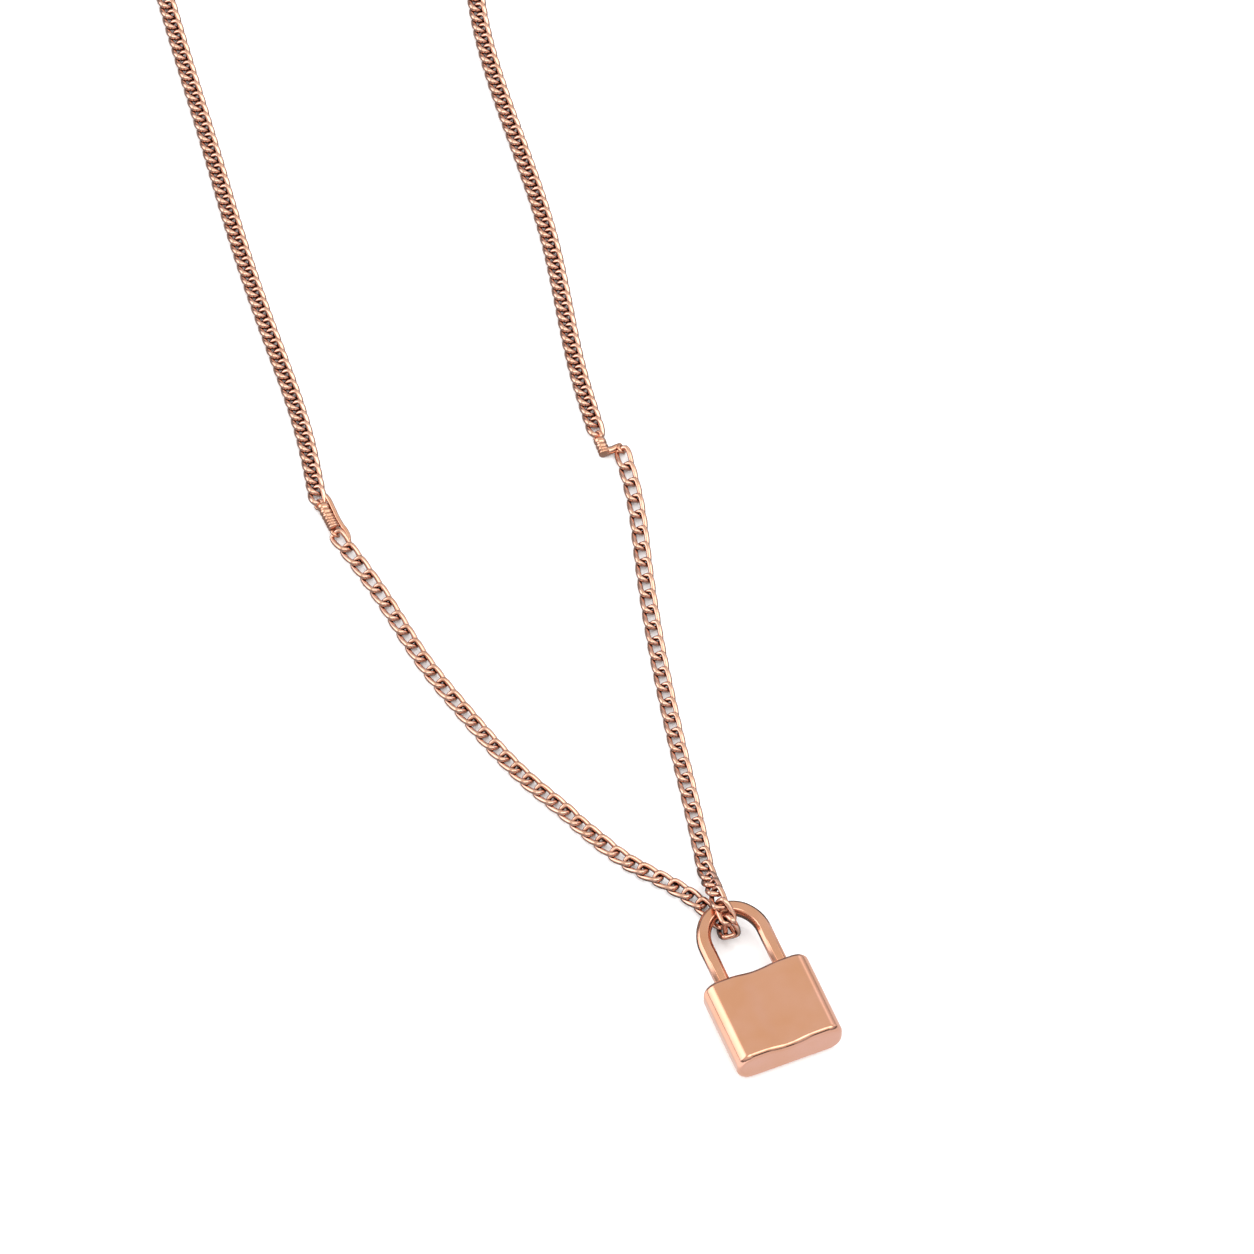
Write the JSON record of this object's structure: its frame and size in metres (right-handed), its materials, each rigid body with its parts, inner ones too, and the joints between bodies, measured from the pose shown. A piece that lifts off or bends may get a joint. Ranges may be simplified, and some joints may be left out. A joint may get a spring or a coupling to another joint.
{
  "type": "padlock pendant necklace",
  "caption": "Small padlock pendant with a U shaped shackle, hanging on a closed loop of twisted curb chain that runs through the shackle and lies flat.",
  "frame": {"origin": "middle of the padlock's flat back, on the surface that the necklace lies on", "axes": "+X to the padlock's right, +Y from the padlock to its shackle and the chain, +Z out of its front"},
  "size_m": [0.0553, 0.2062, 0.0049],
  "materials": {
    "polished_case": "rose gold plating on brass, cast and polished to a soft mirror",
    "polished_bar": "rose gold plating on brass bar, polished",
    "polished_link": "rose gold plating on drawn brass wire, tumbled bright",
    "ribbed_end": "rose gold plating on close wound wire, darker between the ribs"
  },
  "bodies": {
    "root": {"lock_body": "polished_case", "shackle": "polished_bar", "lower_chain": "polished_link", "upper_chain_left": "polished_link", "upper_chain_right": "polished_link", "coil_end_left": "ribbed_end", "coil_end_right": "ribbed_end", "clasp": "polished_link"}
  },
  "joints": []
}
